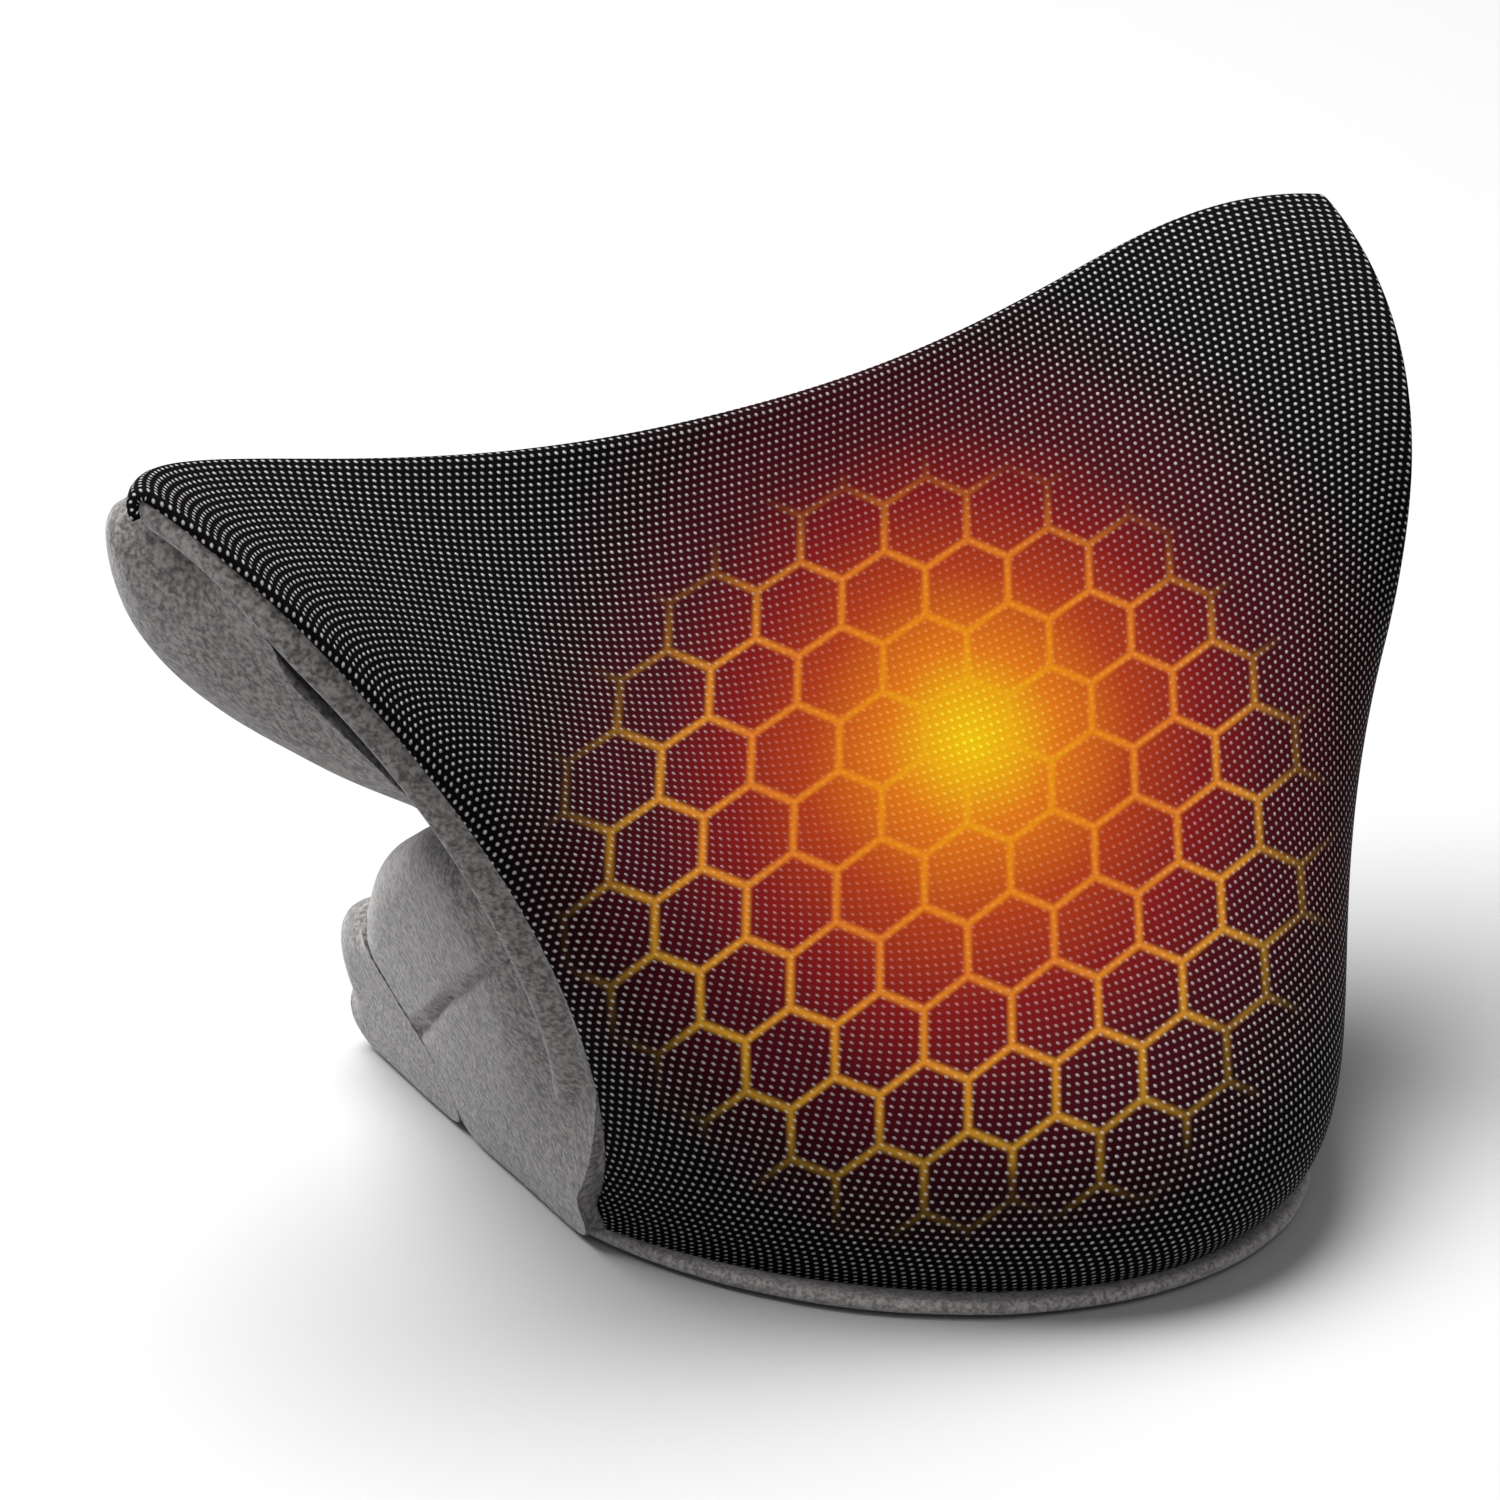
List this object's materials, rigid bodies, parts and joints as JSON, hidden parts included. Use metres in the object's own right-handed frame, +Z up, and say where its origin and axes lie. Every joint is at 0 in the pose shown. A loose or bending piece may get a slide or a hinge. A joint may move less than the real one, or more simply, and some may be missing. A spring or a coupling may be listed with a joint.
{
  "type": "shiatsu neck massager",
  "caption": "C-shaped neck cradle with a black spacer-mesh saddle, grey knit ends and base, heated honeycomb zone and hidden rotating kneading nodes.",
  "frame": {"origin": "on the floor, on the symmetry plane, under the centre of the base's front arc", "axes": "+X to the side across the neck, -Y the closed rounded front, +Y the open back, +Z up"},
  "size_m": [0.3064, 0.2069, 0.1596],
  "materials": {
    "spacer_mesh": "black spacer mesh with pale knit dots",
    "heater_film": "printed heating film",
    "foam": "open-cell foam",
    "grey_knit": "heathered grey knit",
    "grey_felt": "grey felt",
    "grip_rubber": "soft silicone dots",
    "cassette_plastic": "moulded nylon",
    "gear_plastic": "white acetal",
    "bronze": "sintered bronze",
    "steel": "bright steel",
    "kneading_plastic": "smooth moulded nodes",
    "cell_wrap": "shrink wrap",
    "board": "glass-epoxy board",
    "switch_plastic": "switch bodies",
    "bezel_plastic": "fine-textured plastic",
    "button_rubber": "soft-touch keys",
    "led_plastic": "diffusing lens",
    "connector_steel": "stamped connector shell",
    "zip_fabric": "woven tape",
    "zip_nylon": "nylon coil",
    "zip_metal": "dark enamelled metal"
  },
  "bodies": {
    "cradle": {"mesh_cover": "spacer_mesh", "heating_film": "heater_film", "saddle_foam": "foam", "left_edge_band": "grey_knit", "right_edge_band": "grey_knit", "arm_bolster": "grey_knit", "left_arm_side": "grey_knit", "right_arm_side": "grey_knit", "base_cushion": "grey_knit", "left_base_side": "grey_knit", "right_base_side": "grey_knit", "heel_pad": "grey_knit", "base_pad": "grey_felt", "grip_dots": "grip_rubber", "cassette_front": "cassette_plastic", "cassette_rear": "cassette_plastic", "left_bush": "bronze", "right_bush": "bronze", "left_rear_bush": "bronze", "right_rear_bush": "bronze", "motor_screws": "steel", "cassette_screws": "steel", "board_screws": "steel", "drive_motor": "steel", "reduction_axle": "steel", "electronics_tray": "cassette_plastic", "tray_lid": "cassette_plastic", "battery_cells": "cell_wrap", "control_board": "board", "tact_switches": "switch_plastic", "control_bezel": "bezel_plastic", "led_lens": "led_plastic", "usb_port": "connector_steel", "zip_tape": "zip_fabric", "zip_teeth": "zip_nylon"},
    "left_kneader": {"left_output_gear": "gear_plastic", "left_kneading_arm": "kneading_plastic", "left_ball_pin": "steel", "left_ball_clips": "steel"},
    "right_kneader": {"right_output_gear": "gear_plastic", "right_kneading_arm": "kneading_plastic", "right_ball_pin": "steel", "right_ball_clips": "steel"},
    "reduction_wheel": {"reduction_gear": "gear_plastic"},
    "motor_shaft": {"motor_pinion": "bronze"},
    "left_outer_roller": {"left_outer_ball": "kneading_plastic"},
    "left_inner_roller": {"left_inner_ball": "kneading_plastic"},
    "right_inner_roller": {"right_inner_ball": "kneading_plastic"},
    "right_outer_roller": {"right_outer_ball": "kneading_plastic"},
    "power_key": {"power_button": "button_rubber"},
    "heat_key": {"heat_button": "button_rubber"},
    "port_cover": {"port_flap": "button_rubber"},
    "zip_runner": {"zip_slider": "zip_metal"},
    "zip_tab": {"zip_pull": "zip_metal"}
  },
  "joints": [
    {"name": "left_knead_spin", "type": "hinge", "parent": "cradle", "child": "left_kneader", "pos_m": [-0.027, -0.0334, 0.0439], "axis": [0, -0.5592, 0.829], "continuous": true},
    {"name": "right_knead_spin", "type": "hinge", "parent": "cradle", "child": "right_kneader", "pos_m": [0.027, -0.0334, 0.0439], "axis": [0, -0.5592, 0.829], "continuous": true},
    {"name": "reduction_spin", "type": "hinge", "parent": "cradle", "child": "reduction_wheel", "pos_m": [-0.006, -0.01071, 0.05921], "axis": [0, -0.5592, 0.829], "continuous": true},
    {"name": "motor_spin", "type": "hinge", "parent": "cradle", "child": "motor_shaft", "pos_m": [0.02256, -0.01488, 0.05639], "axis": [0, -0.5592, 0.829], "continuous": true},
    {"name": "left_outer_ball_spin", "type": "hinge", "parent": "left_kneader", "child": "left_outer_roller", "pos_m": [-0.027, -0.03832, 0.0512], "axis": [1, 0, 0], "continuous": true},
    {"name": "left_inner_ball_spin", "type": "hinge", "parent": "left_kneader", "child": "left_inner_roller", "pos_m": [-0.027, -0.03832, 0.0512], "axis": [1, 0, 0], "continuous": true},
    {"name": "right_inner_ball_spin", "type": "hinge", "parent": "right_kneader", "child": "right_inner_roller", "pos_m": [0.027, -0.03832, 0.0512], "axis": [1, 0, 0], "continuous": true},
    {"name": "right_outer_ball_spin", "type": "hinge", "parent": "right_kneader", "child": "right_outer_roller", "pos_m": [0.027, -0.03832, 0.0512], "axis": [1, 0, 0], "continuous": true},
    {"name": "power_press", "type": "slide", "parent": "cradle", "child": "power_key", "axis": [0, -1, 0], "range_m": [0, 0.0008], "stiffness_N_per_m": 400},
    {"name": "heat_press", "type": "slide", "parent": "cradle", "child": "heat_key", "axis": [0, -1, 0], "range_m": [0, 0.0008], "stiffness_N_per_m": 400},
    {"name": "port_flap_hinge", "type": "hinge", "parent": "cradle", "child": "port_cover", "pos_m": [0.019, 0.1046, 0.0166], "axis": [1, 0, 0], "range_deg": [0, 105]},
    {"name": "zip_run", "type": "slide", "parent": "cradle", "child": "zip_runner", "axis": [1, 0, 0], "range_m": [0, 0.068]},
    {"name": "zip_tab_swing", "type": "hinge", "parent": "zip_runner", "child": "zip_tab", "pos_m": [-0.036, 0.08626, 0.04823], "axis": [0, -0.8339, 0.5519], "range_deg": [0, 150]}
  ],
  "couplings": [
    {"joint": "right_knead_spin", "follows": "left_knead_spin", "ratio": -1},
    {"joint": "reduction_spin", "follows": "left_knead_spin", "ratio": -3.6},
    {"joint": "motor_spin", "follows": "left_knead_spin", "ratio": 11.314}
  ]
}
